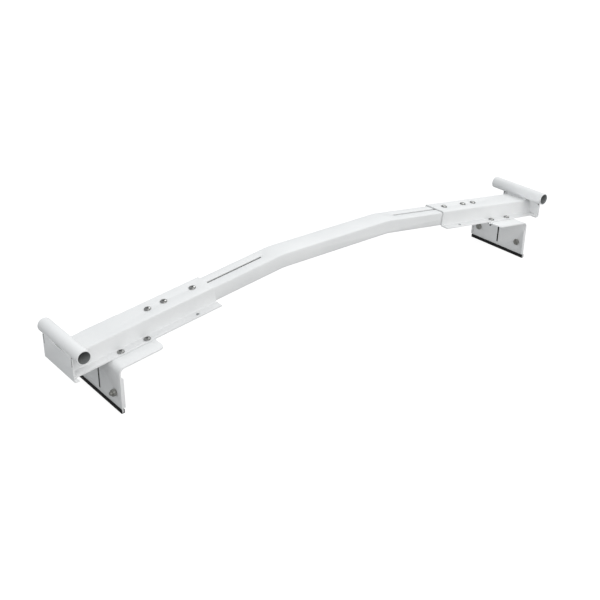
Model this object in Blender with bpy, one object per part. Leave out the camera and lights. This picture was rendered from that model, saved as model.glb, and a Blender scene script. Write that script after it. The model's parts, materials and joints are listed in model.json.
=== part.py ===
"""Telescopic arched pull up bar.

A bent rectangular centre tube carries a folded hat-section sleeve on each end.
Each sleeve is clamped by dome screws running in the long slot of the tube, ends in an
end plate with a folded lip and a crosswise tube on top, and carries an angle bracket whose
hanging plate wears a rubber edge trim.  Metres, +X along the bar, +Z up, the trims stand on Z = 0.
"""
import math

import bmesh
import bpy
from mathutils import Matrix, Vector

for old in list(bpy.data.objects):
    bpy.data.objects.remove(old, do_unlink=True)

MM = 0.001

# ---- driving dimensions, millimetres ----
TILT = math.radians(7.9)         # droop of both end stretches
HALF_MIDDLE = 142.0              # centre to the bend
BEND_RADIUS = 150.0
BAR_WIDTH, BAR_HEIGHT, BAR_WALL, BAR_CORNER = 50.0, 30.0, 2.5, 3.0
BAR_REACH = 345.0                # bend to the open end of the tube
SLOT_START, SLOT_END, SLOT_WIDTH = 35.0, 335.0, 5.3

SHEET = 2.5                      # sleeve and bracket sheet
GAP = 0.3                        # play kept between touching pieces
SLEEVE_IN, SLEEVE_OUT = 166.5, 481.5
SLEEVE_HALF = 28.0
SLEEVE_TOP = 3.0
FLANGE_UNDER = -31.5
FLANGE_TIP = 46.4
FOLD_TOP, FOLD_FOOT = 3.5, 1.5   # outer fold radius at the crown, inner at the flange
TOP_SCREWS = (196.6, 260.0, 294.6)
FLANGE_SCREWS = (325.4, 380.0)
FLANGE_SCREW_Y = 38.7
SCREW_HOLE = 2.9
SPARE_ALONG, SPARE_HOLE = 216.0, 3.0

CAP_SHEET = 2.5                  # end plate sheet
CAP_PROUD = 0.4                  # plate face beyond the crosswise tube
CAP_HALF = 55.5
CAP_LIP = 10.0                   # depth of the folded lip under the flanges
CAP_FOLD = 3.5                   # its outer radius
CAP_FOOT = 2.0                   # lip underside below the flanges' underside
CAP_TOP = 5.6                    # top edge below the crosswise tube's axis
NOTCH_HALF, NOTCH_DEPTH = 19.0, 1.5
RELIEF_NEAR, RELIEF_FAR, RELIEF_DEPTH = 2.2, 4.8, 19.0
TUBE_OUTER, TUBE_INNER, TUBE_LENGTH = 13.45, 11.35, 148.0
TUBE_RISE = 18.0                 # tube axis above the centre bar's top face
TUBE_RIM = 0.4

LEG_IN, LEG_OUT = 313.6, 408.0
BRACKET_HALF = 79.5
BRACKET_DROP = 88.7
BEND_OUTER = 12.0
LEG_ROUND = 11.0                 # corner radius of the leg's inner end
LIP_DEPTH, LIP_START, LIP_END = 7.0, 17.0, 80.0
SLIT_WIDTH, SLIT_START, SLIT_END = 2.4, 13.0, 76.0
BOLT_Y, BOLT_DROP, BOLT_HOLE = 59.0, 55.7, 4.4
TRIM_WALL, TRIM_FLOOR, TRIM_HEIGHT, TRIM_ROUND = 2.0, 1.5, 7.8, 1.2

SCREW_RADIUS, SCREW_LENGTH = 2.5, 14.5
DOME = ((6.8, 0.0), (6.8, 0.8), (6.45, 1.5), (5.7, 2.2), (4.6, 2.8), (3.4, 3.15), (0.0, 3.25))
SOCKET_CORNER, SOCKET_FLOOR = 2.31, 1.3
CLAMP_HALF, CLAMP_HEIGHT, CLAMP_MARGIN = 20.0, 6.0, 12.0
SMALL_NUT, SMALL_NUT_HEIGHT, NUT_CLEARANCE = 10.0, 5.0, 0.3
BOLT_FLAT, BOLT_HEAD, BOLT_RADIUS, BOLT_NUT = 13.0, 5.3, 4.0, 6.8
BOLT_PROUD = 11.0                # bolt end beyond the plate's outer face

# top of the middle stretch above the trims' undersides
STAND = (LEG_OUT * math.sin(TILT) - FLANGE_UNDER * math.cos(TILT)
         + BRACKET_DROP + GAP + TRIM_FLOOR)


# ---- frames ----
def side_frame(side):
    """Local frame of a sleeve: +X outward along the drooping stretch, origin at the bend."""
    turn = Matrix.Rotation(0.0 if side == "right" else math.pi, 4, "Z")
    shift = Matrix.Translation(Vector((HALF_MIDDLE, 0.0, STAND)) * MM)
    return turn @ shift @ Matrix.Rotation(TILT, 4, "Y")


def level_frame(side):
    """Upright frame of one side: +X outward, level, origin under the bar's middle at bar top."""
    turn = Matrix.Rotation(0.0 if side == "right" else math.pi, 4, "Z")
    return turn @ Matrix.Translation((0.0, 0.0, STAND * MM))


def on_slope(along, rise):
    """Level-frame X and Z of a point given along and above the drooping stretch."""
    return (HALF_MIDDLE + along * math.cos(TILT) + rise * math.sin(TILT),
            -along * math.sin(TILT) + rise * math.cos(TILT))


# ---- materials and objects ----
def paint(name, colour, metallic, roughness):
    material = bpy.data.materials.new(name)
    material.use_nodes = True
    shader = material.node_tree.nodes["Principled BSDF"]
    shader.inputs["Base Color"].default_value = (*colour, 1.0)
    shader.inputs["Metallic"].default_value = metallic
    shader.inputs["Roughness"].default_value = roughness
    return material


LOOKS = {
    "white": ((0.86, 0.87, 0.87), 0.0, 0.42),
    "chrome": ((0.72, 0.73, 0.75), 1.0, 0.18),
    "zinc": ((0.62, 0.63, 0.64), 1.0, 0.35),
    "black_steel": ((0.03, 0.03, 0.032), 0.8, 0.4),
    "rubber": ((0.015, 0.015, 0.016), 0.0, 0.7),
}


def add_object(name, shape, look, frame):
    """Turn a bmesh in millimetres into a named object placed by its frame."""
    bmesh.ops.scale(shape, vec=(MM, MM, MM), verts=shape.verts)
    bmesh.ops.recalc_face_normals(shape, faces=shape.faces)
    mesh = bpy.data.meshes.new(name)
    shape.to_mesh(mesh)
    shape.free()
    made = bpy.data.objects.new(name, mesh)
    bpy.context.scene.collection.objects.link(made)
    made.data.materials.append(paint(name, *LOOKS[look]))
    made.matrix_world = frame
    return made


def boolean(target, tool, how):
    """Apply one Boolean with the exact solver and drop the tool."""
    modifier = target.modifiers.new(how.lower(), "BOOLEAN")
    modifier.operation = how
    modifier.solver = "EXACT"
    modifier.object = tool
    tool.hide_render = True
    tool.display_type = "WIRE"
    bpy.context.view_layer.update()
    graph = bpy.context.evaluated_depsgraph_get()
    result = bpy.data.meshes.new_from_object(target.evaluated_get(graph))
    target.modifiers.remove(modifier)
    spare = target.data
    target.data = result
    result.name = target.name
    bpy.data.meshes.remove(spare)
    bpy.data.objects.remove(tool, do_unlink=True)


def smooth_round(made, limit=35.0):
    """Shade curved walls smooth and keep corners sharper than the limit crisp."""
    mesh = made.data
    for polygon in mesh.polygons:
        polygon.use_smooth = True
    mesh.set_sharp_from_angle(angle=math.radians(limit))


# ---- shapes, millimetres ----
def box(x0, x1, y0, y1, z0, z1):
    shape = bmesh.new()
    bmesh.ops.create_cube(shape, size=1.0)
    for vert in shape.verts:
        vert.co = Vector(((x0 + x1) / 2 + vert.co.x * (x1 - x0),
                          (y0 + y1) / 2 + vert.co.y * (y1 - y0),
                          (z0 + z1) / 2 + vert.co.z * (z1 - z0)))
    return shape


def solid_band(outer, inner, lay, low, high):
    """Sheet section between two matching paths, drawn from low to high by lay()."""
    shape = bmesh.new()
    ends = []
    for limit in (low, high):
        ends.append(([shape.verts.new(lay(p, limit)) for p in outer],
                     [shape.verts.new(lay(p, limit)) for p in inner]))
    (oa, ia), (ob, ib) = ends
    for k in range(len(outer) - 1):
        shape.faces.new((oa[k], oa[k + 1], ob[k + 1], ob[k]))
        shape.faces.new((ia[k + 1], ia[k], ib[k], ib[k + 1]))
        shape.faces.new((oa[k + 1], oa[k], ia[k], ia[k + 1]))
        shape.faces.new((ob[k], ob[k + 1], ib[k + 1], ib[k]))
    for k in (0, len(outer) - 1):
        shape.faces.new((oa[k], ob[k], ib[k], ia[k]))
    bmesh.ops.recalc_face_normals(shape, faces=shape.faces)
    return shape


def arc(centre, radius, start, stop, steps):
    return [(centre[0] + radius * math.cos(math.radians(start + (stop - start) * k / steps)),
             centre[1] + radius * math.sin(math.radians(start + (stop - start) * k / steps)))
            for k in range(steps + 1)]


def prism(points, lay, low, high):
    """Straight prism over a convex outline."""
    shape = bmesh.new()
    a = [shape.verts.new(lay(p, low)) for p in points]
    b = [shape.verts.new(lay(p, high)) for p in points]
    shape.faces.new(a)
    shape.faces.new(list(reversed(b)))
    for k in range(len(points)):
        n = (k + 1) % len(points)
        shape.faces.new((a[n], a[k], b[k], b[n]))
    bmesh.ops.recalc_face_normals(shape, faces=shape.faces)
    return shape


def rod(centre, radius, low, high, axis="z", sides=16):
    """Round cutter through a centre given in the two other axes."""
    ring = [(centre[0] + radius * math.cos(2 * math.pi * k / sides),
             centre[1] + radius * math.sin(2 * math.pi * k / sides)) for k in range(sides)]
    lays = {"z": lambda p, h: (p[0], p[1], h), "x": lambda p, h: (h, p[0], p[1])}
    return prism(ring, lays[axis], low, high)


def revolve(profile, sides):
    """Turn a closed (radius, height) outline about Z; zero radii become poles."""
    shape = bmesh.new()
    rows = []
    for radius, height in profile:
        if radius < 1e-6:
            rows.append([shape.verts.new((0.0, 0.0, height))])
        else:
            rows.append([shape.verts.new((radius * math.cos(2 * math.pi * k / sides),
                                          radius * math.sin(2 * math.pi * k / sides), height))
                         for k in range(sides)])
    for first, second in zip(rows, rows[1:]):
        for k in range(sides):
            n = (k + 1) % sides
            if len(first) == 1:
                shape.faces.new((first[0], second[n], second[k]))
            elif len(second) == 1:
                shape.faces.new((first[k], first[n], second[0]))
            else:
                shape.faces.new((first[k], first[n], second[n], second[k]))
    bmesh.ops.recalc_face_normals(shape, faces=shape.faces)
    return shape


def merge(*shapes):
    """Gather several cutters into one bmesh."""
    whole = bmesh.new()
    for shape in shapes:
        spare = bpy.data.meshes.new("cutter")
        shape.to_mesh(spare)
        shape.free()
        whole.from_mesh(spare)
        bpy.data.meshes.remove(spare)
    return whole


def cut(target, frame, *shapes):
    boolean(target, add_object("cutter", merge(*shapes), "zinc", frame), "DIFFERENCE")


def join(target, frame, shape):
    boolean(target, add_object("adder", shape, "zinc", frame), "UNION")


# ---- centre bar ----
def bar_ring(half_width, top, bottom, corner, steps=3):
    """Rounded rectangle as (y, z) points, counter-clockwise seen from +X."""
    y, points = half_width - corner, []
    for cy, cz, start in ((y, top - corner, 0), (-y, top - corner, 90),
                          (-y, bottom + corner, 180), (y, bottom + corner, 270)):
        points += arc((cy, cz), corner, start, start + 90, steps)
    return points


def bar_stations():
    """Top-face points and slopes from the left end to the right end."""
    tangent = BEND_RADIUS * math.tan(TILT / 2)
    right = []
    for k in range(7):
        angle = TILT * k / 6
        x = HALF_MIDDLE - tangent + BEND_RADIUS * math.sin(angle)
        right.append((x, -BEND_RADIUS * (1 - math.cos(angle)), angle))
    end_x, end_z = on_slope(BAR_REACH, 0.0)
    right.append((end_x, end_z, TILT))
    return [(-x, z, -angle) for x, z, angle in reversed(right)] + right


def centre_bar():
    frame = Matrix.Translation((0.0, 0.0, STAND * MM))
    outer = bar_ring(BAR_WIDTH / 2, 0.0, -BAR_HEIGHT, BAR_CORNER)
    inner = bar_ring(BAR_WIDTH / 2 - BAR_WALL, -BAR_WALL, BAR_WALL - BAR_HEIGHT,
                     BAR_CORNER - BAR_WALL + 0.2)
    skins = []
    for section in (outer, inner):
        skins.append([[(x + z * math.sin(a), y, top + z * math.cos(a)) for y, z in section]
                      for x, top, a in bar_stations()])
    shape = bmesh.new()
    rows = [[[shape.verts.new(p) for p in ring] for ring in skin] for skin in skins]
    count = len(outer)
    for skin in rows:
        for first, second in zip(skin, skin[1:]):
            for k in range(count):
                n = (k + 1) % count
                shape.faces.new((first[k], first[n], second[n], second[k]))
    for end in (0, -1):
        for k in range(count):
            n = (k + 1) % count
            shape.faces.new((rows[0][end][k], rows[0][end][n], rows[1][end][n], rows[1][end][k]))
    made = add_object("center_bar", shape, "white", frame)
    half = SLOT_WIDTH / 2
    outline = (arc((SLOT_START + half, 0.0), half, 90, 270, 8)
               + arc((SLOT_END - half, 0.0), half, -90, 90, 8))
    for side in ("left", "right"):
        slot = prism(outline, lambda p, h: (p[0], p[1], h), -BAR_WALL - 1.0, 1.0)
        cut(made, side_frame(side), slot)
    smooth_round(made)


# ---- sleeve ----
def sleeve(side):
    frame = side_frame(side)
    half, top = SLEEVE_HALF, SLEEVE_TOP
    foot = FLANGE_UNDER + SHEET + FOLD_FOOT
    outer, inner = [], []
    for path, thick in ((outer, 0.0), (inner, SHEET)):
        path += [(FLANGE_TIP, FLANGE_UNDER + SHEET - thick)]
        path += arc((half + FOLD_FOOT, foot), FOLD_FOOT + thick, -90, -180, 5)
        path += arc((half - FOLD_TOP, top - FOLD_TOP), FOLD_TOP - thick, 0, 90, 5)
        path += [(-y, z) for y, z in reversed(path)]
    wall_x = cap_face() - CAP_SHEET - GAP

    def lay(point, limit):
        along = limit
        if limit == SLEEVE_OUT:
            along = (wall_x - HALF_MIDDLE - point[1] * math.sin(TILT)) / math.cos(TILT)
        return (along, point[0], point[1])

    made = add_object(side + "_sleeve", solid_band(outer, inner, lay, SLEEVE_IN, SLEEVE_OUT),
                      "white", frame)
    holes = [rod((along, 0.0), SCREW_HOLE, top - SHEET - 1, top + 1) for along in TOP_SCREWS]
    for y in (-FLANGE_SCREW_Y, FLANGE_SCREW_Y):
        holes += [rod((along, y), SCREW_HOLE, FLANGE_UNDER - 1, FLANGE_UNDER + SHEET + 1)
                  for along in FLANGE_SCREWS]
        holes.append(rod((SPARE_ALONG, y), SPARE_HOLE, FLANGE_UNDER - 1, FLANGE_UNDER + SHEET + 1))
    cut(made, frame, *holes)
    # room for the end plate's lip under the flanges
    cut(made, level_frame(side), box(cap_face() - CAP_LIP - GAP, cap_face() + 9,
                                     -CAP_HALF - 5, CAP_HALF + 5,
                                     cap_floor() - 10, cap_floor() + CAP_SHEET + GAP))
    smooth_round(made)


# ---- end plate and crosswise tube ----
def cap_face():
    """Level-frame X of the end plate's outer face."""
    return on_slope(SLEEVE_OUT, FLANGE_UNDER)[0] + CAP_PROUD


def cap_floor():
    """Level-frame Z of the end plate's underside."""
    return on_slope(SLEEVE_OUT, FLANGE_UNDER)[1] - CAP_FOOT


def tube_axis():
    """Level-frame X and Z of the crosswise tube."""
    x = cap_face() - CAP_PROUD - TUBE_OUTER
    along = (x - HALF_MIDDLE - TUBE_RISE * math.sin(TILT)) / math.cos(TILT)
    return x, on_slope(along, TUBE_RISE)[1]


def end_plate(side):
    frame = level_frame(side)
    outside, floor = cap_face(), cap_floor()
    axis_x, axis_z = tube_axis()
    top = axis_z - CAP_TOP
    centre = (outside - CAP_FOLD, floor + CAP_FOLD)
    outer, inner = [], []
    for path, thick in ((outer, 0.0), (inner, CAP_SHEET)):
        path += [(outside - CAP_LIP, floor + thick)]
        path += arc(centre, CAP_FOLD - thick, -90, 0, 6)
        path += [(outside - thick, top)]
    shape = solid_band(outer, inner, lambda p, h: (p[0], h, p[1]), -CAP_HALF, CAP_HALF)
    made = add_object(side + "_end_plate", shape, "white", frame)

    # the top edge is coped to the tube, with a notch between the welds
    ring = [(axis_x + (TUBE_OUTER + GAP) * math.cos(2 * math.pi * k / 64),
             axis_z + (TUBE_OUTER + GAP) * math.sin(2 * math.pi * k / 64)) for k in range(64)]
    cut(made, frame, prism(ring, lambda p, h: (p[0], h, p[1]), -CAP_HALF - 5, CAP_HALF + 5))
    inside = outside - CAP_SHEET - 1
    tools = [box(inside, outside + 1, -NOTCH_HALF, NOTCH_HALF, top - NOTCH_DEPTH, top + 1)]
    for s in (-1, 1):
        low, high = sorted((s * (CAP_HALF - RELIEF_FAR), s * (CAP_HALF - RELIEF_NEAR)))
        tools.append(box(inside, outside + 1, low, high, top - RELIEF_DEPTH, top + 1))
    cut(made, frame, *tools)
    smooth_round(made)


def end_tube(side):
    axis_x, axis_z = tube_axis()
    frame = level_frame(side) @ Matrix.Translation(Vector((axis_x, 0, axis_z)) * MM)
    frame = frame @ Matrix.Rotation(math.radians(90), 4, "X")
    half, rim = TUBE_LENGTH / 2, TUBE_RIM
    shape = revolve([(TUBE_INNER, -half + rim), (TUBE_INNER + rim, -half), (TUBE_OUTER - rim, -half),
                     (TUBE_OUTER, -half + rim), (TUBE_OUTER, half - rim), (TUBE_OUTER - rim, half),
                     (TUBE_INNER + rim, half), (TUBE_INNER, half - rim), (TUBE_INNER, -half + rim)], 48)
    bmesh.ops.remove_doubles(shape, verts=shape.verts, dist=0.001)
    smooth_round(add_object(side + "_end_tube", shape, "white", frame), 30.0)


# ---- bracket and its edge trim ----
def plate_frame(side):
    """Frame of the hanging plate: +X inward from its outer face, +Z up along the plate."""
    x, z = on_slope(LEG_OUT, FLANGE_UNDER)
    frame = level_frame(side) @ Matrix.Translation(Vector((x, 0, z)) * MM)
    return frame @ Matrix.Rotation(math.pi, 4, "Z")


def bracket(side):
    frame = level_frame(side)
    top = FLANGE_UNDER - GAP
    start = Vector(on_slope(LEG_IN, top))
    along = Vector((math.cos(TILT), -math.sin(TILT)))
    down = Vector((0.0, -1.0))
    face = Vector(on_slope(LEG_OUT, FLANGE_UNDER))
    # corner where the leg's top line meets the plate's outer line
    gap = face - start
    cross = along.x * down.y - along.y * down.x
    corner = start + along * ((gap.x * down.y - gap.y * down.x) / cross)
    turn = along.angle(down)
    tangent = BEND_OUTER * math.tan(turn / 2)
    centre = corner - along * tangent + Vector((-math.sin(TILT), -math.cos(TILT))) * BEND_OUTER
    first = math.degrees(math.atan2(math.cos(TILT), math.sin(TILT)))
    last = first - math.degrees(turn)
    bottom = face + down * BRACKET_DROP
    inward = Vector((-1.0, 0.0))
    under = Vector((-math.sin(TILT), -math.cos(TILT)))
    outer = [tuple(start)] + arc(centre, BEND_OUTER, first, last, 8) + [tuple(bottom)]
    inner = ([tuple(start + under * SHEET)] + arc(centre, BEND_OUTER - SHEET, first, last, 8)
             + [tuple(bottom + inward * SHEET)])
    shape = solid_band(outer, inner, lambda p, h: (p[0], h, p[1]), -BRACKET_HALF, BRACKET_HALF)
    tips = [edge for edge in shape.edges
            if all(abs(abs(v.co.y) - BRACKET_HALF) < 1e-3 for v in edge.verts)
            and abs(edge.verts[0].co.y - edge.verts[1].co.y) < 1e-3
            and all(v.co.x < start.x + 1.0 for v in edge.verts)]
    bmesh.ops.bevel(shape, geom=tips, offset=LEG_ROUND, offset_type="OFFSET", segments=6,
                    profile=0.5, affect="EDGES", clamp_overlap=True)
    made = add_object(side + "_bracket", shape, "white", frame)

    plate = plate_frame(side)
    for s in (-1, 1):
        edges = sorted((s * BRACKET_HALF, s * (BRACKET_HALF - SHEET)))
        root = SHEET - 0.6       # runs a little into the plate, so the two fuse
        outline = [(root, -LIP_START - 0.6), (SHEET + 0.2, -LIP_START),
                   (LIP_DEPTH, -LIP_START - 5.0), (LIP_DEPTH, -LIP_END), (root, -LIP_END)]
        join(made, plate, prism(outline, lambda p, h: (p[0], h, p[1]), *edges))
    cut(made, plate, box(-2, SHEET + 2, -SLIT_WIDTH / 2, SLIT_WIDTH / 2, -SLIT_END, -SLIT_START),
        rod((-BOLT_Y, -BOLT_DROP), BOLT_HOLE, -2, SHEET + 2, "x"),
        rod((BOLT_Y, -BOLT_DROP), BOLT_HOLE, -2, SHEET + 2, "x"))
    cut(made, side_frame(side), *[rod((a, y), SCREW_HOLE, top - SHEET - 1, top + 1)
                                  for a in FLANGE_SCREWS for y in (-FLANGE_SCREW_Y, FLANGE_SCREW_Y)])
    smooth_round(made)


def edge_trim(side):
    low, high = -BRACKET_DROP - GAP, -BRACKET_DROP - GAP - TRIM_FLOOR
    top = high + TRIM_HEIGHT
    out, inn = -GAP, SHEET + GAP
    # the inner path steps along its walls so that both paths have as many points
    steps = [low + 0.1 * k for k in (3, 2, 1, 0)]
    outer = [(out - TRIM_WALL, top), (out - TRIM_WALL, high + TRIM_ROUND)]
    outer += arc((out - TRIM_WALL + TRIM_ROUND, high + TRIM_ROUND), TRIM_ROUND, 180, 270, 3)[1:]
    outer += arc((inn + TRIM_WALL - TRIM_ROUND, high + TRIM_ROUND), TRIM_ROUND, 270, 360, 3)
    outer += [(inn + TRIM_WALL, top)]
    inner = [(out, top)] + [(out, z) for z in steps] + [(inn, z) for z in reversed(steps)]
    inner += [(inn, top)]
    shape = solid_band(outer, inner, lambda p, h: (p[0], h, p[1]), -BRACKET_HALF, BRACKET_HALF)
    smooth_round(add_object(side + "_edge_trim", shape, "rubber", plate_frame(side)))


# ---- fasteners ----
def hexagon(corner):
    return [(corner * math.cos(math.radians(60 * k)), corner * math.sin(math.radians(60 * k)))
            for k in range(6)]


def upright(point, height):
    return (point[0], point[1], height)


def chamfer(made, frame, rows):
    """Keep only what lies inside a turned outline, to chamfer a hexagon's corners."""
    boolean(made, add_object("adder", revolve(rows, 24), "zinc", frame), "INTERSECT")


def dome_screw(name, frame, length):
    """Dome-head socket screw, head standing on z = 0."""
    r = SCREW_RADIUS
    profile = [(0.0, -length), (r - 0.6, -length), (r, -length + 0.7), (r, 0.0)] + list(DOME)
    made = add_object(name, revolve(profile, 20), "chrome", frame)
    cut(made, frame, prism(hexagon(SOCKET_CORNER), upright, SOCKET_FLOOR, DOME[-1][1] + 2))
    smooth_round(made)


def hex_nut(name, frame, flat, height, hole, look):
    """Hexagon nut standing on z = 0, chamfered on both faces."""
    half = flat / 2
    corner = half / math.cos(math.radians(30))
    made = add_object(name, prism(hexagon(corner), upright, 0, height), look, frame)
    chamfer(made, frame, [(0.0, -1.0), (half - 1.35, -1.0), (half + 0.95, 0.95),
                          (half + 0.95, height - 0.95), (half - 1.35, height + 1.0),
                          (0.0, height + 1.0)])
    cut(made, frame, rod((0.0, 0.0), hole, -1, height + 1, sides=16))
    smooth_round(made, 25.0)


def hex_bolt(name, frame, length):
    """Hexagon bolt, its dished head on z = 0 upward and its shank running down."""
    half, head, r = BOLT_FLAT / 2, BOLT_HEAD, BOLT_RADIUS
    corner = half / math.cos(math.radians(30))
    made = add_object(name, prism(hexagon(corner), upright, 0, head), "black_steel", frame)
    chamfer(made, frame, [(0.0, -1.0), (half + 1.4, -1.0), (half + 1.4, head - 1.1),
                          (half - 0.3, head), (half - 0.8, head + 1.0), (0.0, head + 1.0)])
    cut(made, frame, revolve([(0.0, head - 1.0), (r - 0.8, head - 1.0), (r - 0.1, head + 0.5),
                              (0.0, head + 0.5)], 16))
    join(made, frame, revolve([(0.0, -length), (r - 0.8, -length), (r, -length + 0.9),
                               (r, 0.6), (0.0, 0.6)], 16))
    smooth_round(made)


def fasteners(side):
    frame = side_frame(side)
    for number, along in enumerate(TOP_SCREWS, 1):
        spot = frame @ Matrix.Translation(Vector((along, 0, SLEEVE_TOP + GAP)) * MM)
        dome_screw(f"{side}_top_screw_{number}", spot, SCREW_LENGTH)
    roof = -BAR_WALL - GAP
    strip = box(TOP_SCREWS[0] - CLAMP_MARGIN, TOP_SCREWS[2] + CLAMP_MARGIN,
                -CLAMP_HALF, CLAMP_HALF, roof - CLAMP_HEIGHT, roof)
    clamp = add_object(side + "_clamp_strip", strip, "zinc", frame)
    cut(clamp, frame, *[rod((along, 0.0), SCREW_RADIUS + NUT_CLEARANCE,
                            roof - CLAMP_HEIGHT - 2, roof + 2) for along in TOP_SCREWS])
    smooth_round(clamp)

    spots = [(along, y) for along in FLANGE_SCREWS for y in (-FLANGE_SCREW_Y, FLANGE_SCREW_Y)]
    for number, (along, y) in enumerate(spots, 1):
        head = frame @ Matrix.Translation(Vector((along, y, FLANGE_UNDER + SHEET + GAP)) * MM)
        dome_screw(f"{side}_flange_screw_{number}", head, SCREW_LENGTH + GAP)
        low = FLANGE_UNDER - GAP - SHEET - GAP - SMALL_NUT_HEIGHT
        seat = frame @ Matrix.Translation(Vector((along, y, low)) * MM)
        hex_nut(f"{side}_flange_nut_{number}", seat, SMALL_NUT, SMALL_NUT_HEIGHT,
                SCREW_RADIUS + NUT_CLEARANCE, "zinc")

    plate = plate_frame(side)
    turn = Matrix.Rotation(math.radians(90), 4, "Y")
    for place, y in (("front", 1), ("back", -1)):
        # the plate frame of the right side is turned, so pick the world side by name
        lateral = y * BOLT_Y if side == "right" else -y * BOLT_Y
        head = plate @ Matrix.Translation(Vector((SHEET + GAP, lateral, -BOLT_DROP)) * MM) @ turn
        hex_bolt(f"{side}_plate_bolt_{place}", head, SHEET + 2 * GAP + BOLT_PROUD)
        seat = plate @ Matrix.Translation(Vector((-GAP - BOLT_NUT, lateral, -BOLT_DROP)) * MM)
        hex_nut(f"{side}_plate_nut_{place}", seat @ turn, BOLT_FLAT, BOLT_NUT,
                BOLT_RADIUS + NUT_CLEARANCE, "black_steel")


centre_bar()
for hand in ("left", "right"):
    sleeve(hand)
    end_plate(hand)
    end_tube(hand)
    bracket(hand)
    edge_trim(hand)
    fasteners(hand)
bpy.context.view_layer.update()
print("objects", len([o for o in bpy.data.objects if o.type == "MESH"]))
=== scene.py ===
import json
import math

import bpy
from mathutils import Matrix, Vector


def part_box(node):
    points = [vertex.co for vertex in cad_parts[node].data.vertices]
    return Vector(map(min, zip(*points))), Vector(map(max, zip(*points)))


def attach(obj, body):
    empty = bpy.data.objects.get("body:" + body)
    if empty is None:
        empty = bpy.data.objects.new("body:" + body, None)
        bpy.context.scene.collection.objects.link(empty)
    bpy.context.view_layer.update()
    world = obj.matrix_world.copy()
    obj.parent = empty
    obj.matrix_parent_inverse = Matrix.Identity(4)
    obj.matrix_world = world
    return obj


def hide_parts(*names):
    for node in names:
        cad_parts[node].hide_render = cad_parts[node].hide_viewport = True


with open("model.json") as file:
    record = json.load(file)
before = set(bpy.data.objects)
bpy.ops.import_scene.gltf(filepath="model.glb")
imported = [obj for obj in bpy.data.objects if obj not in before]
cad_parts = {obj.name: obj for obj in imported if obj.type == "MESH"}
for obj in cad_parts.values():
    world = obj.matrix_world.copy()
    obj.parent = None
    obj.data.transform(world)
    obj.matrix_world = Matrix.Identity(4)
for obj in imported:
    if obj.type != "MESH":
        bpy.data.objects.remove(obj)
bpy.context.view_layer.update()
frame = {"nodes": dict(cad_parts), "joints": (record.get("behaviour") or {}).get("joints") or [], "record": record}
mm = 0.001
sides = ("left", "right")
yAxis, zAxis = Vector((0, 1, 0)), Vector((0, 0, 1))

# each arm's slide axis runs outward along its drooping stretch, and the bar's own up is square to it
armOut = {}
armUp = {}
for joint in frame["joints"]:
    side = joint["child"].split("_")[0]
    out = Vector(joint["axis"]).normalized()
    armOut[side] = out
    armUp[side] = Vector((-out.z * math.copysign(1, out.x), 0, abs(out.x)))


# small helpers for node trees
def startMaterial(name):
    material = bpy.data.materials.new(name)
    material.use_nodes = True
    nodes = material.node_tree.nodes
    coords = nodes.new("ShaderNodeTexCoord")
    return material, nodes, material.node_tree.links, nodes["Principled BSDF"], coords


def addNoise(nodes, links, coords, scale, detail, roughness, stretch=None):
    noise = nodes.new("ShaderNodeTexNoise")
    noise.inputs["Scale"].default_value = scale
    noise.inputs["Detail"].default_value = detail
    noise.inputs["Roughness"].default_value = roughness
    source = coords.outputs["Object"]
    if stretch:
        mapping = nodes.new("ShaderNodeMapping")
        mapping.inputs["Scale"].default_value = stretch
        links.new(source, mapping.inputs["Vector"])
        source = mapping.outputs["Vector"]
    links.new(source, noise.inputs["Vector"])
    return noise


def addRamp(nodes, links, source, places, colours):
    ramp = nodes.new("ShaderNodeValToRGB")
    for element, place, colour in zip(ramp.color_ramp.elements, places, colours):
        element.position = place
        element.color = (*colour, 1.0)
    links.new(source, ramp.inputs["Fac"])
    return ramp


def grey(value):
    return (value, value, value)


def addBump(nodes, links, height, strength, distance, below=None):
    bump = nodes.new("ShaderNodeBump")
    bump.inputs["Strength"].default_value = strength
    bump.inputs["Distance"].default_value = distance
    links.new(height, bump.inputs["Height"])
    if below:
        links.new(below.outputs["Normal"], bump.inputs["Normal"])
    return bump


# baked powder coat: orange peel, a finer grain, a soft drift of tone and patchy gloss
paintLook = {
    "white": (0.80, 0.803, 0.806),
    "soft": (0.765, 0.77, 0.775),
    "drift": {"scale": 9.0, "detail": 6.0, "roughness": 0.62},
    "driftSpan": (0.32, 0.58),
    "patch": {"scale": 55.0, "detail": 4.0, "roughness": 0.55},
    "patchSpan": (0.3, 0.7),
    "peel": {"scale": 620.0, "detail": 2.0, "roughness": 0.4},
    "grain": {"scale": 2294.0, "detail": 1.0, "roughness": 0.5},
    "peelStrength": 0.4,
    "peelDepth": 0.00010,
    "grainStrength": 0.2,
    "grainDepth": 0.00003,
    "roughLow": 0.48,
    "roughHigh": 0.62,
    "coat": 0.02,
    "coatRoughness": 0.30,
    "shine": 0.22,
    # painted shade: within boreRadius of the tube axis the paint turns this dark grey, for the shade inside the
    # tube's bore
    "bore": (0.25, 0.26, 0.262),
    "boreRadius": 0.0116,
}


# how far a point lies from the axis of the crosswise tube on its own side
def axisDistance(nodes, links, coords, axis):
    parts = nodes.new("ShaderNodeSeparateXYZ")
    links.new(coords.outputs["Object"], parts.inputs["Vector"])
    mirror = nodes.new("ShaderNodeMath")
    mirror.operation = "ABSOLUTE"
    links.new(parts.outputs["X"], mirror.inputs[0])
    offset = nodes.new("ShaderNodeCombineXYZ")
    for source, channel, centre in ((mirror.outputs[0], "X", abs(axis.x)),
                                    (parts.outputs["Z"], "Z", axis.z)):
        shift = nodes.new("ShaderNodeMath")
        shift.operation = "SUBTRACT"
        shift.inputs[1].default_value = centre
        links.new(source, shift.inputs[0])
        links.new(shift.outputs[0], offset.inputs[channel])
    length = nodes.new("ShaderNodeVectorMath")
    length.operation = "LENGTH"
    links.new(offset.outputs["Vector"], length.inputs[0])
    return length.outputs["Value"]


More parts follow.
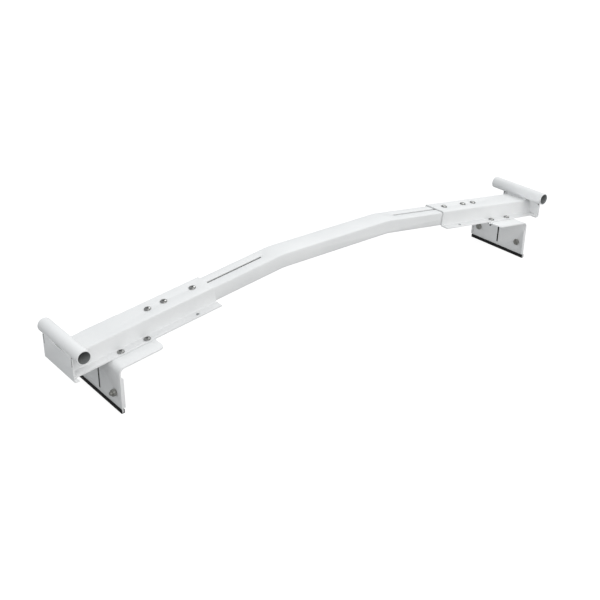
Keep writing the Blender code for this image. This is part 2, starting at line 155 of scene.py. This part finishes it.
def makePaint(name="powderCoatWhite", boreAxis=None):
    look = paintLook
    material, nodes, links, shader, coords = startMaterial(name)
    drift = addNoise(nodes, links, coords, **look["drift"])
    tint = addRamp(nodes, links, drift.outputs["Fac"], look["driftSpan"], (look["soft"], look["white"]))
    colour = tint.outputs["Color"]
    # painted shade: points inside the tube bore take the dark grey instead of the white paint
    if boreAxis:
        inside = nodes.new("ShaderNodeMath")
        inside.operation = "LESS_THAN"
        inside.inputs[1].default_value = look["boreRadius"]
        links.new(axisDistance(nodes, links, coords, boreAxis), inside.inputs[0])
        # a colour mix takes its two colours at sockets 6 and 7 and gives the result at 2
        boreShadeMix = nodes.new("ShaderNodeMix")
        boreShadeMix.data_type = "RGBA"
        links.new(inside.outputs[0], boreShadeMix.inputs[0])
        links.new(colour, boreShadeMix.inputs[6])
        boreShadeMix.inputs[7].default_value = (*look["bore"], 1.0)
        colour = boreShadeMix.outputs[2]
    links.new(colour, shader.inputs["Base Color"])
    patch = addNoise(nodes, links, coords, **look["patch"])
    rough = addRamp(nodes, links, patch.outputs["Fac"], look["patchSpan"],
                    (grey(look["roughLow"]), grey(look["roughHigh"])))
    links.new(rough.outputs["Color"], shader.inputs["Roughness"])
    peel = addNoise(nodes, links, coords, **look["peel"])
    grain = addNoise(nodes, links, coords, **look["grain"])
    wide = addBump(nodes, links, peel.outputs["Fac"], look["peelStrength"], look["peelDepth"])
    fine = addBump(nodes, links, grain.outputs["Fac"], look["grainStrength"], look["grainDepth"], wide)
    links.new(fine.outputs["Normal"], shader.inputs["Normal"])
    shader.inputs["Coat Weight"].default_value = look["coat"]
    shader.inputs["Coat Roughness"].default_value = look["coatRoughness"]
    shader.inputs["Specular IOR Level"].default_value = look["shine"]
    return material


# plated and oxidised steel share one recipe: cloudy colour, uneven gloss, turning marks
steelLook = {
    "cloud": {"scale": 260.0, "detail": 4.0, "roughness": 0.6},
    "cloudSpan": (0.3, 0.65),
    "wear": {"scale": 700.0, "detail": 3.0, "roughness": 0.5, "stretch": (1.0, 1.0, 5.0)},
    "wearSpan": (0.3, 0.75),
    "roughSpread": (0.75, 1.4),
    "markDepth": 0.00003,
    "kinds": {
        "chrome": {"light": (0.36, 0.36, 0.353), "dark": (0.21, 0.21, 0.206), "rough": 0.11, "marks": 0.10},
        "zinc": {"light": (0.40, 0.41, 0.42), "dark": (0.28, 0.285, 0.295), "rough": 0.34, "marks": 0.35},
        "oxide": {"light": (0.50, 0.495, 0.47), "dark": (0.27, 0.267, 0.25), "rough": 0.30, "marks": 0.4},
    },
}


def makeSteel(kind):
    look, own = steelLook, steelLook["kinds"][kind]
    material, nodes, links, shader, coords = startMaterial(kind + "Steel")
    cloud = addNoise(nodes, links, coords, **look["cloud"])
    tint = addRamp(nodes, links, cloud.outputs["Fac"], look["cloudSpan"], (own["dark"], own["light"]))
    links.new(tint.outputs["Color"], shader.inputs["Base Color"])
    shader.inputs["Metallic"].default_value = 1.0
    wear = addNoise(nodes, links, coords, **look["wear"])
    rough = addRamp(nodes, links, wear.outputs["Fac"], look["wearSpan"],
                    [grey(own["rough"] * spread) for spread in look["roughSpread"]])
    links.new(rough.outputs["Color"], shader.inputs["Roughness"])
    bump = addBump(nodes, links, wear.outputs["Fac"], own["marks"], look["markDepth"])
    links.new(bump.outputs["Normal"], shader.inputs["Normal"])
    return material


# black rubber with a faint grey bloom and open pores
rubberLook = {
    "deep": (0.0045, 0.0045, 0.005),
    "grown": (0.013, 0.013, 0.014),
    "bloom": {"scale": 80.0, "detail": 5.0, "roughness": 0.6},
    "bloomSpan": (0.35, 0.75),
    "roughSpan": (0.3, 0.7),
    "rough": (0.55, 0.72),
    "pores": {"scale": 1400.0, "detail": 2.0, "roughness": 0.5},
    "poreStrength": 0.3,
    "poreDepth": 0.00008,
    "shine": 0.3,
}


def makeRubber():
    look = rubberLook
    material, nodes, links, shader, coords = startMaterial("trimRubber")
    bloom = addNoise(nodes, links, coords, **look["bloom"])
    tint = addRamp(nodes, links, bloom.outputs["Fac"], look["bloomSpan"], (look["deep"], look["grown"]))
    links.new(tint.outputs["Color"], shader.inputs["Base Color"])
    rough = addRamp(nodes, links, bloom.outputs["Fac"], look["roughSpan"],
                    [grey(value) for value in look["rough"]])
    links.new(rough.outputs["Color"], shader.inputs["Roughness"])
    pores = addNoise(nodes, links, coords, **look["pores"])
    bump = addBump(nodes, links, pores.outputs["Fac"], look["poreStrength"], look["poreDepth"])
    links.new(bump.outputs["Normal"], shader.inputs["Normal"])
    shader.inputs["Specular IOR Level"].default_value = look["shine"]
    return material


paint = makePaint()
steels = {kind: makeSteel(kind) for kind in steelLook["kinds"]}
rubber = makeRubber()
tubeLow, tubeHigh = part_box("right_end_tube")
# the crosswise tubes get the white paint with painted shade inside the bore
tubePaint = makePaint("powderCoatBareBore", (tubeLow + tubeHigh) / 2)
slotFinish = {"white": paint, "chrome": steels["chrome"], "zinc": steels["zinc"],
              "black_steel": steels["oxide"], "rubber": rubber}
slotOf = {part["node"]: part["material_slot"] for part in frame["record"]["subparts"]}
for name, node in frame["nodes"].items():
    node.data.materials.clear()
    node.data.materials.append(slotFinish[slotOf[name]])
print("finishes ready")


# modelling helpers
def onlySelect(piece):
    bpy.ops.object.select_all(action="DESELECT")
    piece.select_set(True)
    bpy.context.view_layer.objects.active = piece


def applyBevel(piece, width, segments, angle):
    onlySelect(piece)
    bevel = piece.modifiers.new("edge", "BEVEL")
    bevel.width = width
    bevel.segments = segments
    bevel.limit_method = "ANGLE"
    bevel.angle_limit = math.radians(angle)
    bpy.ops.object.modifier_apply(modifier="edge")


def finishPiece(piece, body, slotName, smoothAngle=32.0):
    onlySelect(piece)
    bpy.ops.object.shade_smooth_by_angle(angle=math.radians(smoothAngle))
    piece.data.materials.clear()
    piece.data.materials.append(slotFinish[slotName])
    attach(piece, body)


def bodyOf(node):
    bodies = frame["record"]["behaviour"]["bodies"]
    return [body for body, members in bodies.items() if node in members][0]


# folded sheet, tube and trim keep their CAD shape but get rolled, painted-over edges
edgeLook = {
    "center_bar": {"width": 0.3, "segments": 2},
    "sleeve": {"width": 0.55, "segments": 3},
    "end_plate": {"width": 0.55, "segments": 3},
    "bracket": {"width": 0.5, "segments": 3},
    "end_tube": {"width": 0.2, "segments": 2},
    "edge_trim": {"width": 0.35, "segments": 3},
    "clamp_strip": {"width": 0.5, "segments": 2},
    "flange_nut": {"width": 0.25, "segments": 2},
    "plate_nut": {"width": 0.3, "segments": 2},
}
mendLook = {"mergeWithin": 0.00001, "flatWithin": 0.4, "bevelFrom": 38.0}


def rollEdges(node, look):
    source = frame["nodes"][node]
    piece = source.copy()
    piece.data = source.data.copy()
    for key in list(piece.keys()):
        del piece[key]
    piece.parent = None
    piece.name = node + "_finished"
    bpy.context.scene.collection.objects.link(piece)
    onlySelect(piece)
    bpy.ops.mesh.customdata_custom_splitnormals_clear()
    bpy.ops.object.mode_set(mode="EDIT")
    bpy.ops.mesh.select_all(action="SELECT")
    bpy.ops.mesh.remove_doubles(threshold=mendLook["mergeWithin"])
    bpy.ops.mesh.dissolve_limited(angle_limit=math.radians(mendLook["flatWithin"]))
    bpy.ops.object.mode_set(mode="OBJECT")
    applyBevel(piece, look["width"] * mm, look["segments"], mendLook["bevelFrom"])
    finishPiece(piece, bodyOf(node), slotOf[node])
    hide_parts(node)
    return piece


finished = {}
for node in frame["nodes"]:
    kind = node.replace("left_", "").replace("right_", "")
    kind = kind.rstrip("_0123456789").replace("_front", "").replace("_back", "")
    if kind in edgeLook:
        finished[node] = rollEdges(node, edgeLook[kind])
    if kind == "end_tube":
        finished[node].data.materials[0] = tubePaint
print("edges rolled:", len(finished))


def span(node, direction):
    reach = [vertex.co.dot(direction) for vertex in frame["nodes"][node].data.vertices]
    return min(reach), max(reach)


def middle(node, direction):
    low, high = span(node, direction)
    return (low + high) / 2


# turned parts grow ring by ring out of a disc
def startDisc(name, radius, height, vertices):
    bpy.ops.object.select_all(action="DESELECT")
    bpy.ops.mesh.primitive_circle_add(vertices=vertices, radius=radius * mm, fill_type="NGON",
                                      location=(0, 0, height * mm))
    piece = bpy.context.object
    piece.name = name
    bpy.ops.object.transform_apply(location=True, rotation=False, scale=False)
    bpy.ops.object.mode_set(mode="EDIT")
    bpy.ops.mesh.select_all(action="SELECT")
    return piece


def turnProfile(name, profile, vertices):
    radius, height = profile[0]
    piece = startDisc(name, radius, height, vertices)
    for nextRadius, nextHeight in profile[1:]:
        bpy.ops.mesh.extrude_region_move(
            TRANSFORM_OT_translate={"value": (0, 0, (nextHeight - height) * mm)})
        widen = nextRadius / radius
        bpy.ops.transform.resize(value=(widen, widen, 1), center_override=(0, 0, nextHeight * mm))
        radius, height = nextRadius, nextHeight
    bpy.ops.mesh.select_all(action="SELECT")
    bpy.ops.mesh.normals_make_consistent(inside=False)
    bpy.ops.object.mode_set(mode="OBJECT")
    return piece


def carve(piece, tool, how):
    onlySelect(piece)
    modifier = piece.modifiers.new("shape", "BOOLEAN")
    modifier.operation = how
    modifier.solver = "EXACT"
    modifier.object = tool
    bpy.ops.object.modifier_apply(modifier="shape")
    bpy.data.objects.remove(tool, do_unlink=True)


def hexPrism(cornerRadius, low, high):
    return turnProfile("hexTool", [(cornerRadius, low), (cornerRadius, high)], 6)


# where the flat crest of a thread begins and ends, as shares of its pitch
threadLook = {"crest": (0.38, 0.62)}


def threadRings(top, bottom, outside, depth, pitch):
    rings = []
    turns = int((top - bottom) / pitch)
    for turn in range(turns):
        at = bottom + turn * pitch
        rings.append((outside - depth, at))
        rings += [(outside, at + share * pitch) for share in threadLook["crest"]]
    return rings + [(outside - depth, bottom + turns * pitch)]


# a shank's outline from its tip up to its neck
def shankProfile(look):
    shank, low = look["shank"], -look["length"]
    tip = [(shank - shrink, low + rise) for shrink, rise in look["tip"]]
    thread = threadRings(look["threadTop"], low + look["threadStart"], shank, look["threadDepth"],
                         look["pitch"])
    neck = [(shank + grow, height) for grow, height in look["neck"]]
    return tip + thread + neck


def setDown(master, name, origin, outward, upward):
    piece = master.copy()
    piece.data = master.data.copy()
    piece.name = name
    bpy.context.scene.collection.objects.link(piece)
    side = upward.cross(outward)
    turn = Matrix((outward, side, upward)).transposed().to_4x4()
    piece.data.transform(Matrix.Translation(origin) @ turn)
    return piece


# button-head socket screws with a rolled thread
screwLook = {
    "facets": 40,
    "shank": 2.5,
    "length": 14.5,
    "tip": ((0.8, 0.0), (0.45, 0.35)),
    "threadStart": 0.5,
    "threadTop": -1.0,
    "threadDepth": 0.36,
    "pitch": 0.8,
    "neck": ((-0.1, -0.5), (0.25, 0.0)),
    "head": [(6.55, 0.0), (6.8, 0.25), (6.8, 0.75), (6.66, 1.15), (6.38, 1.55), (5.95, 1.95),
             (5.4, 2.3), (4.7, 2.63), (3.95, 2.9), (3.3, 3.08), (2.9, 3.2)],
    "height": 3.25,
    "socket": 2.31,
    "socketFloor": 1.3,
    "socketAbove": 5.0,
    "mouth": ((-0.35, 2.5), (0.45, 3.4)),
    "mouthFacets": 32,
    "smooth": 28.0,
}


def buildScrew():
    look = screwLook
    screw = turnProfile("screwMaster", shankProfile(look) + look["head"], look["facets"])
    carve(screw, hexPrism(look["socket"], look["socketFloor"], look["socketAbove"]), "DIFFERENCE")
    mouth = [(look["socket"] + grow, height) for grow, height in look["mouth"]]
    carve(screw, turnProfile("mouthTool", mouth, look["mouthFacets"]), "DIFFERENCE")
    return screw


screwMaster = buildScrew()
for node in frame["nodes"]:
    if "_screw_" in node:
        side = node.split("_")[0]
        up, out = armUp[side], armOut[side]
        seat = out * middle(node, out) + yAxis * middle(node, yAxis)
        seat += up * (span(node, up)[1] - screwLook["height"] * mm)
        screw = setDown(screwMaster, node + "_finished", seat, out, up)
        finishPiece(screw, bodyOf(node), slotOf[node], screwLook["smooth"])
        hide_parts(node)
bpy.data.objects.remove(screwMaster, do_unlink=True)
print("screws ready")

# hexagon bolts that clamp through the hanging plates
boltLook = {
    "facets": 40,
    "flat": 13.0,
    "headHeight": 5.3,
    "washer": {"inset": 0.15, "height": 0.35, "step": 0.4},
    "crown": {"inset": 0.3, "height": 1.0},
    "dish": [(3.9, 5.3), (3.3, 4.7)],
    "trimBeyond": 1.0,
    "shank": 4.0,
    "length": 14.1,
    "tip": ((1.0, 0.0), (0.6, 0.4)),
    "threadStart": 0.5,
    "threadTop": -1.5,
    "threadDepth": 0.55,
    "pitch": 1.25,
    "neck": ((-0.1, -0.8), (0.0, 0.5)),
    "smooth": 28.0,
}


def buildBolt():
    look, washer, crown = boltLook, boltLook["washer"], boltLook["crown"]
    half, top = look["flat"] / 2, look["headHeight"]
    corner = half / math.cos(math.radians(30))
    outline = [(half - washer["inset"], 0.0), (half - washer["inset"], washer["height"]),
               (corner, washer["step"]), (corner, top - crown["height"]), (half - crown["inset"], top)]
    bolt = turnProfile("boltMaster", outline + look["dish"], look["facets"])
    carve(bolt, hexPrism(corner, -look["trimBeyond"], top + look["trimBeyond"]), "INTERSECT")
    carve(bolt, turnProfile("shankTool", shankProfile(look), look["facets"]), "UNION")
    return bolt


boltMaster = buildBolt()
for node in frame["nodes"]:
    if "plate_bolt" in node:
        side = node.split("_")[0]
        inward = Vector((-math.copysign(1, armOut[side].x), 0, 0))
        seat = inward * (span(node, inward)[1] - boltLook["headHeight"] * mm)
        seat += zAxis * middle(node, zAxis) + yAxis * middle(node, yAxis)
        bolt = setDown(boltMaster, node + "_finished", seat, zAxis, inward)
        finishPiece(bolt, bodyOf(node), slotOf[node], boltLook["smooth"])
        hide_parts(node)
bpy.data.objects.remove(boltMaster, do_unlink=True)
print("bolts ready")

# painted-over weld beads: overlapping drops run together
weldLook = {
    "step": 1.5,
    "dropFacets": (20, 12),
    "grain": 0.34,
    "settle": 0.5,
    "settleTimes": 2,
    "smooth": 60.0,
    "tubePlate": {"radius": 1.35, "inset": 1.45, "drop": 4.35, "from": 20.5, "to": 49.5},
    "tubeSleeve": {"radius": 2.6, "inset": 7.0, "drop": 13.0, "from": -25.5, "to": 25.5},
    "sleevePlate": {"radius": 1.5, "beside": 28.6, "from": 4.0, "to": 33.0, "sheet": 2.5, "behind": 0.7},
}


def layBead(name, start, end, radius, body):
    run = end - start
    count = max(2, int(run.length / (weldLook["step"] * mm)) + 1)
    step = run / (count - 1)
    bpy.ops.object.select_all(action="DESELECT")
    around, up = weldLook["dropFacets"]
    bpy.ops.mesh.primitive_uv_sphere_add(segments=around, ring_count=up, radius=radius * mm,
                                         location=start)
    bead = bpy.context.object
    bead.name = name
    bpy.ops.object.transform_apply(location=True, rotation=False, scale=False)
    row = bead.modifiers.new("row", "ARRAY")
    row.use_relative_offset = False
    row.use_constant_offset = True
    row.constant_offset_displace = step
    row.count = count
    bpy.ops.object.modifier_apply(modifier="row")
    flow = bead.modifiers.new("flow", "REMESH")
    flow.mode = "VOXEL"
    flow.voxel_size = weldLook["grain"] * mm
    bpy.ops.object.modifier_apply(modifier="flow")
    settle = bead.modifiers.new("settle", "SMOOTH")
    settle.factor = weldLook["settle"]
    settle.iterations = weldLook["settleTimes"]
    bpy.ops.object.modifier_apply(modifier="settle")
    finishPiece(bead, body, "white", weldLook["smooth"])


for side in sides:
    sign = math.copysign(1, armOut[side].x)
    body = side + "_arm"
    tubeLow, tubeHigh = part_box(side + "_end_tube")
    axis = (tubeLow + tubeHigh) / 2
    face = span(side + "_end_plate", Vector((sign, 0, 0)))[1]
    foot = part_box(side + "_end_plate")[0].z
    look = weldLook["tubePlate"]
    for name, towards in (("front", -1), ("back", 1)):
        x = sign * (face - look["inset"] * mm)
        z = axis.z - look["drop"] * mm
        layBead(side + "_tube_weld_" + name, Vector((x, towards * look["from"] * mm, z)),
                Vector((x, towards * look["to"] * mm, z)), look["radius"], body)
    look = weldLook["tubeSleeve"]
    x, z = axis.x - sign * look["inset"] * mm, axis.z - look["drop"] * mm
    layBead(side + "_crown_weld", Vector((x, look["from"] * mm, z)),
            Vector((x, look["to"] * mm, z)), look["radius"], body)
    look = weldLook["sleevePlate"]
    for name, towards in (("front", -1), ("back", 1)):
        x = sign * (face - look["sheet"] * mm - look["behind"] * mm)
        y = towards * look["beside"] * mm
        layBead(side + "_wall_weld_" + name, Vector((x, y, foot + look["from"] * mm)),
                Vector((x, y, foot + look["to"] * mm)), look["radius"], body)
print("welds ready")

# black strips pressed into the long slits of the hanging plates and the end plates' short relief slits: painted
# shade, dark pieces set where the open slits only show shade
shadeStripLook = {
    "plate": {"half": 1.12, "recess": -0.2, "thick": 2.9, "sheet": 2.5, "low": 15.0, "high": 77.0,
              "lips": (-0.25, 2.75), "lipThick": 0.45, "lipHalf": 1.75, "lipShort": 0.4, "round": 0.15},
    "relief": {"half": 1.2, "recess": 0.5, "thick": 1.5, "inset": 3.5, "deep": 18.6, "below": 0.3,
               "lips": (), "round": 0.25},
    "roundSegments": 3,
    "roundFrom": 40.0,
}


def blockAt(name, centre, size):
    bpy.ops.object.select_all(action="DESELECT")
    bpy.ops.mesh.primitive_cube_add(size=1, location=centre)
    block = bpy.context.object
    block.name = name
    block.scale = size
    bpy.ops.object.transform_apply(location=True, rotation=False, scale=True)
    return block


def pressShadeStrip(name, side, face, y, low, high, look):
    sign = math.copysign(1, armOut[side].x)
    middleX = sign * (face - (look["recess"] + look["thick"] / 2) * mm)
    height = (low + high) / 2
    strip = blockAt(name, (middleX, y, height),
                    (look["thick"] * mm, 2 * look["half"] * mm, high - low))
    for depth in look["lips"]:
        lip = blockAt("lipTool", (sign * (face - depth * mm), y, height),
                      (look["lipThick"] * mm, 2 * look["lipHalf"] * mm,
                       high - low - look["lipShort"] * mm))
        carve(strip, lip, "UNION")
    applyBevel(strip, look["round"] * mm, shadeStripLook["roundSegments"], shadeStripLook["roundFrom"])
    # the black rubber finish on these strips is painted shade for the dark inside of the slits
    finishPiece(strip, side + "_arm", "rubber")


for side in sides:
    outward = Vector((math.copysign(1, armOut[side].x), 0, 0))
    look = shadeStripLook["plate"]
    face = middle(side + "_edge_trim", outward) + look["sheet"] / 2 * mm
    # painted shade: a dark strip fills the long slit of the hanging plate
    pressShadeStrip(side + "_slit_strip", side, face, 0.0, look["low"] * mm, look["high"] * mm, look)
    look = shadeStripLook["relief"]
    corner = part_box(side + "_end_plate")[1]
    face = span(side + "_end_plate", outward)[1]
    top = corner.z - look["below"] * mm
    # painted shade: dark strips fill the short relief slits at the top corners of the end plate
    for name, towards in (("front", -1), ("back", 1)):
        y = towards * (corner.y - look["inset"] * mm)
        pressShadeStrip(side + "_relief_strip_" + name, side, face, y, top - look["deep"] * mm, top, look)
print("strips ready")

# blind rivets that close the spare holes near each sleeve's inner end
rivetLook = {
    "along": 216.0,
    "beside": 38.7,
    "bend": 142.0,
    "profile": [(2.0, -3.6), (2.7, -3.3), (2.8, -2.7), (2.8, 0.05), (3.2, 0.05), (3.25, 0.3),
                (3.0, 0.65), (2.4, 0.9), (1.3, 1.0), (1.1, 0.75)],
    "facets": 32,
    "smooth": 30.0,
}

rivetMaster = turnProfile("rivetMaster", rivetLook["profile"], rivetLook["facets"])
for side in sides:
    up, out = armUp[side], armOut[side]
    shelf = span(side + "_flange_screw_1", up)[1] - screwLook["height"] * mm
    bend = Vector((math.copysign(1, out.x) * rivetLook["bend"] * mm, 0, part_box("center_bar")[1].z))
    along = bend.dot(out) + rivetLook["along"] * mm
    for name, towards in (("front", -1), ("back", 1)):
        seat = out * along + up * shelf + yAxis * (towards * rivetLook["beside"] * mm)
        rivet = setDown(rivetMaster, side + "_spare_rivet_" + name, seat, out, up)
        finishPiece(rivet, side + "_arm", "zinc", rivetLook["smooth"])
bpy.data.objects.remove(rivetMaster, do_unlink=True)
print("rivets ready")

# pale floor and room, a broad key, a light from behind for the screw heads, two faint fills
# low at the right arm
stageLook = {
    "floorSize": 40.0,
    "floorGlow": 0.90,
    "floorTint": 0.20,
    "floorBounce": 0.40,
    "roomTone": (0.955, 0.985, 1.0),
    "roomStrength": 0.695,
    "lampPlace": (0, -2, 3),
    "lamps": {
        "softKey": {"from": (-0.08, -0.80, 0.60), "strength": 1.15, "spread": 44.0,
                    "tone": (1.0, 0.985, 0.965)},
        "rimKicker": {"from": (0.60, 0.35, 0.72), "strength": 0.85, "spread": 36.0,
                      "tone": (1.0, 1.0, 1.0)},
    },
    "fills": {
        "lowFill": {"place": (0.20, -0.07, 0.025), "target": (0.54, 0.0, 0.045),
                    "power": 0.019, "beam": 55.0},
        "plateFill": {"place": (0.27, -0.12, 0.130), "target": (0.61, -0.045, 0.113),
                      "power": 0.005, "beam": 22.0},
    },
    "fillSize": (0.10, 0.03),
}


# the camera sees the floor bright, while it sends less light up to the undersides
def makeFloor():
    look = stageLook
    bpy.ops.object.select_all(action="DESELECT")
    bpy.ops.mesh.primitive_plane_add(size=look["floorSize"], location=(0, 0, 0))
    floor = bpy.context.object
    floor.name = "floor"
    material = bpy.data.materials.new("paleFloor")
    material.use_nodes = True
    nodes, links = material.node_tree.nodes, material.node_tree.links
    nodes.clear()
    output = nodes.new("ShaderNodeOutputMaterial")
    glow = nodes.new("ShaderNodeEmission")
    glow.inputs["Strength"].default_value = look["floorGlow"]
    shade = nodes.new("ShaderNodeBsdfDiffuse")
    shade.inputs["Color"].default_value = (*grey(look["floorTint"]), 1.0)
    bounce = nodes.new("ShaderNodeBsdfDiffuse")
    bounce.inputs["Color"].default_value = (*grey(look["floorBounce"]), 1.0)
    seen = nodes.new("ShaderNodeAddShader")
    choose = nodes.new("ShaderNodeMixShader")
    path = nodes.new("ShaderNodeLightPath")
    links.new(glow.outputs["Emission"], seen.inputs[0])
    links.new(shade.outputs["BSDF"], seen.inputs[1])
    links.new(path.outputs["Is Camera Ray"], choose.inputs["Fac"])
    links.new(bounce.outputs["BSDF"], choose.inputs[1])
    links.new(seen.outputs["Shader"], choose.inputs[2])
    links.new(choose.outputs["Shader"], output.inputs["Surface"])
    floor.data.materials.append(material)


def makeRoom():
    look = stageLook
    world = bpy.data.worlds.new("paleRoom")
    world.use_nodes = True
    background = world.node_tree.nodes["Background"]
    background.inputs["Color"].default_value = (*look["roomTone"], 1.0)
    background.inputs["Strength"].default_value = look["roomStrength"]
    bpy.context.scene.world = world


def addLamp(kind, name, place, shineFrom, strength):
    bpy.ops.object.light_add(type=kind, location=place)
    lamp = bpy.context.object
    lamp.name = name
    lamp.data.energy = strength
    lamp.rotation_euler = shineFrom.to_track_quat("Z", "Y").to_euler()
    return lamp


def addLights():
    for name, look in stageLook["lamps"].items():
        sun = addLamp("SUN", name, stageLook["lampPlace"], Vector(look["from"]), look["strength"])
        sun.data.angle = math.radians(look["spread"])
        sun.data.color = look["tone"]
    for name, look in stageLook["fills"].items():
        aim = Vector(look["place"]) - Vector(look["target"])
        panel = addLamp("AREA", name, look["place"], aim, look["power"])
        panel.data.shape = "RECTANGLE"
        panel.data.size, panel.data.size_y = stageLook["fillSize"]
        panel.data.spread = math.radians(look["beam"])
        panel.visible_camera = False


# the camera stands here, with these two directions to the right and up in its picture
cameraLook = {
    "place": (-1.2131, -1.3829, 0.9700),
    "right": (0.7775, -0.6287, 0.0148),
    "up": (0.2780, 0.3647, 0.8886),
    "lens": 58.63,
    "sensor": 36.0,
}


def addCamera():
    look = cameraLook
    bpy.ops.object.camera_add(location=look["place"])
    camera = bpy.context.object
    right = Vector(look["right"]).normalized()
    back = right.cross(Vector(look["up"])).normalized()
    up = back.cross(right)
    camera.rotation_euler = Matrix((right, up, back)).transposed().to_euler()
    camera.data.lens = look["lens"]
    camera.data.sensor_width = look["sensor"]
    bpy.context.scene.camera = camera


makeFloor()
makeRoom()
addLights()
addCamera()
bpy.context.scene.view_settings.view_transform = "Standard"
print("stage ready")
